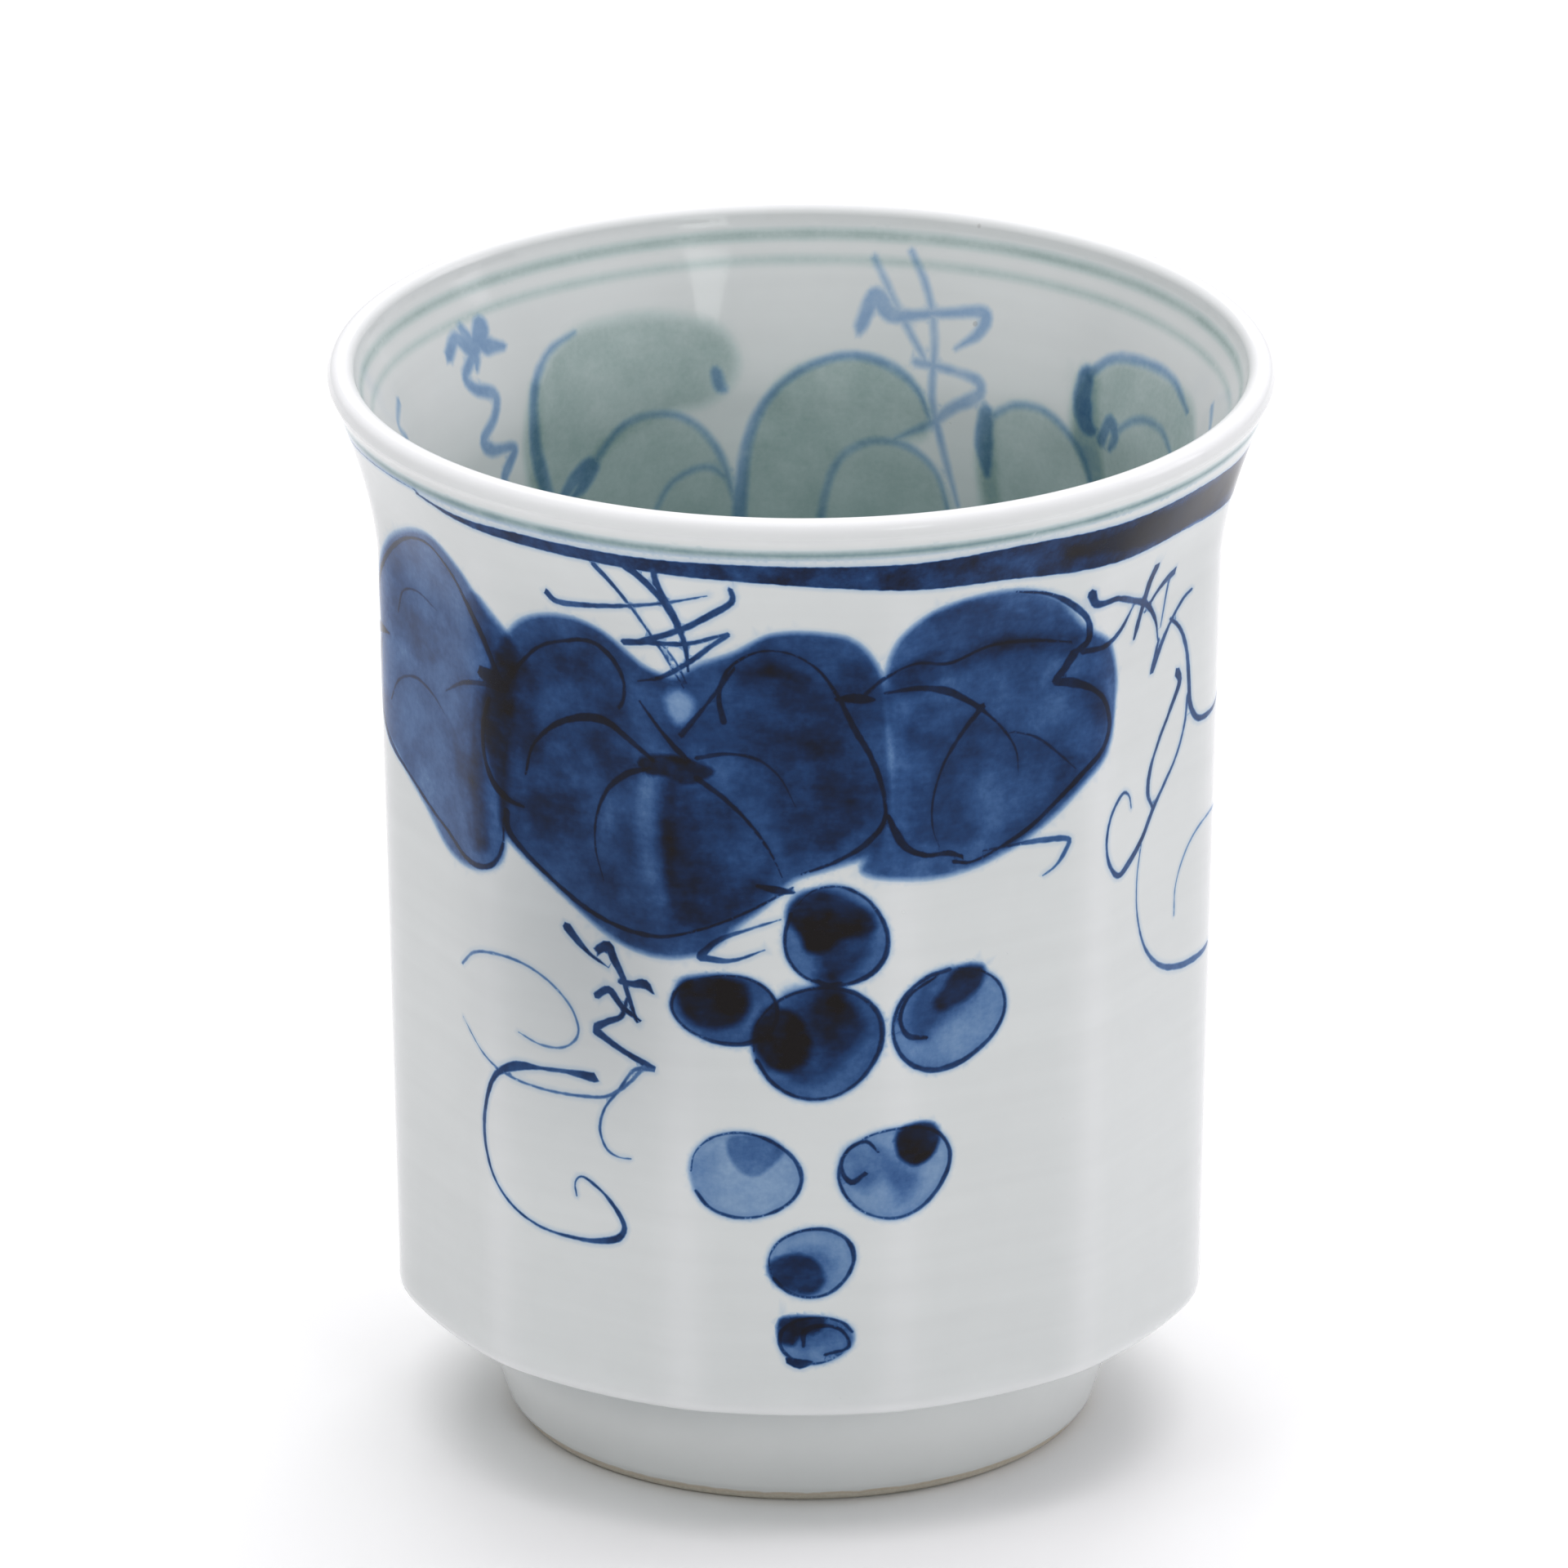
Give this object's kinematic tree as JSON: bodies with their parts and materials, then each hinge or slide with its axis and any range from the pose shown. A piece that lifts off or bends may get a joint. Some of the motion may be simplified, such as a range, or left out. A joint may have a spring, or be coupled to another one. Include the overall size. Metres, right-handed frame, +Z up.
{
  "type": "teacup",
  "caption": "Tall handleless porcelain teacup with a softly faceted wall, flared round lip, foot ring and hand-painted cobalt grape vine.",
  "frame": {"origin": "middle of the circle that the foot ring stands on, at the surface under the cup", "axes": "+Z up through the cup's axis, and -Y towards the main painted grape cluster"},
  "size_m": [0.072, 0.072, 0.085],
  "materials": {
    "glazed_body": "clear gloss glaze over cool white porcelain, painted under the glaze in cobalt blue",
    "glazed_foot": "clear gloss glaze, wiped off the bare standing edge"
  },
  "bodies": {
    "root": {"cup_body": "glazed_body", "foot_ring": "glazed_foot"}
  },
  "joints": []
}
